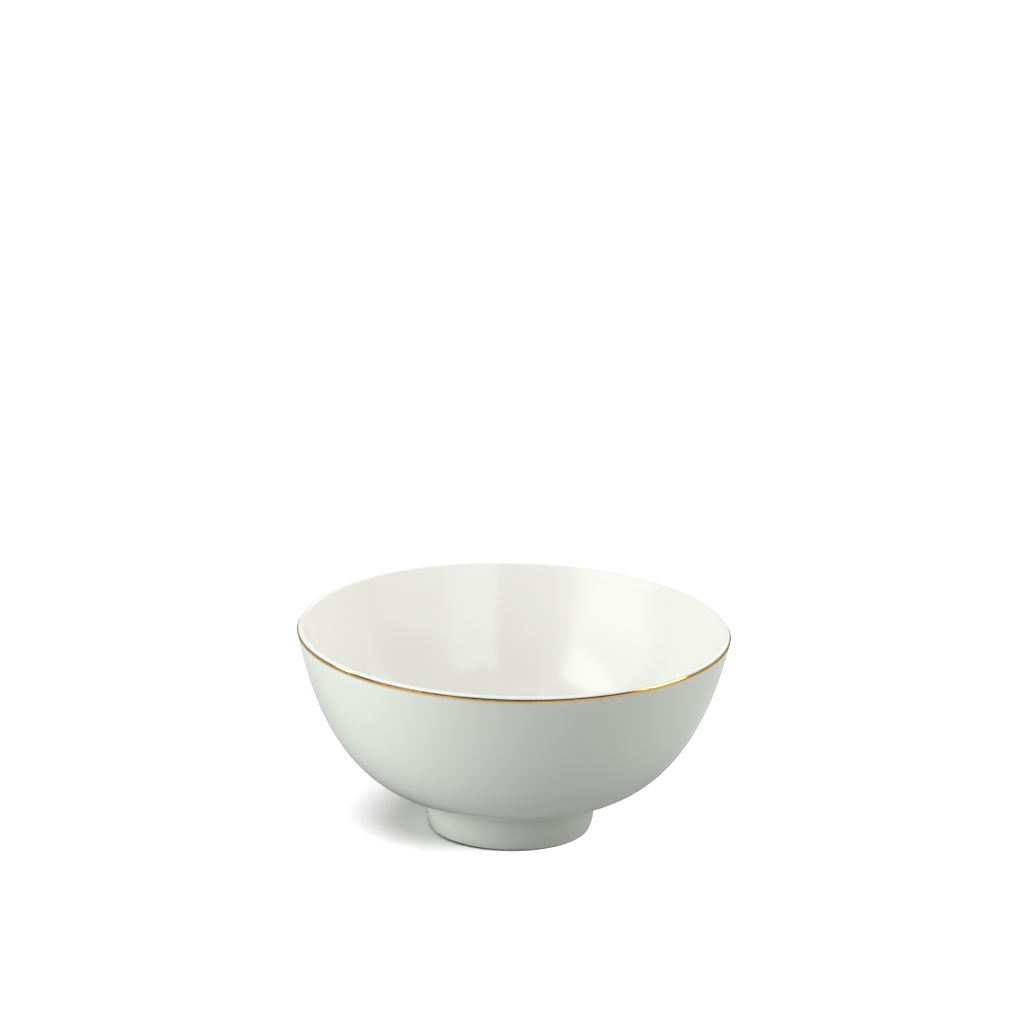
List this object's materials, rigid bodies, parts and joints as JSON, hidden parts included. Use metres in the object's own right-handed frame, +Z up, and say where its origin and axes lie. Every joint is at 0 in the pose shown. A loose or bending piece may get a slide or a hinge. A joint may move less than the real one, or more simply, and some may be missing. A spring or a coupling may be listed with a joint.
{
  "type": "porcelain serving bowl",
  "caption": "Round footed porcelain bowl for one serving: gloss glaze inside, satin glaze outside, and a thin gold line just under the lip.",
  "frame": {"origin": "middle of the foot ring's flat underside, where the bowl stands on the table", "axes": "+Z up along the axis that the bowl is turned about; X and Y are any two level directions"},
  "size_m": [0.115, 0.115, 0.0554],
  "materials": {
    "porcelain_body": "bare fired porcelain, matte",
    "gloss_glaze": "clear gloss over warm white",
    "satin_glaze": "satin, pale grey-green",
    "gold": "bright gold, thin fired coat"
  },
  "bodies": {
    "root": {"bowl_shell": "porcelain_body", "foot_ring": "porcelain_body", "inside_gloss_glaze": "gloss_glaze", "outside_satin_glaze": "satin_glaze", "foot_well_glaze": "gloss_glaze", "gold_line": "gold"}
  },
  "joints": []
}
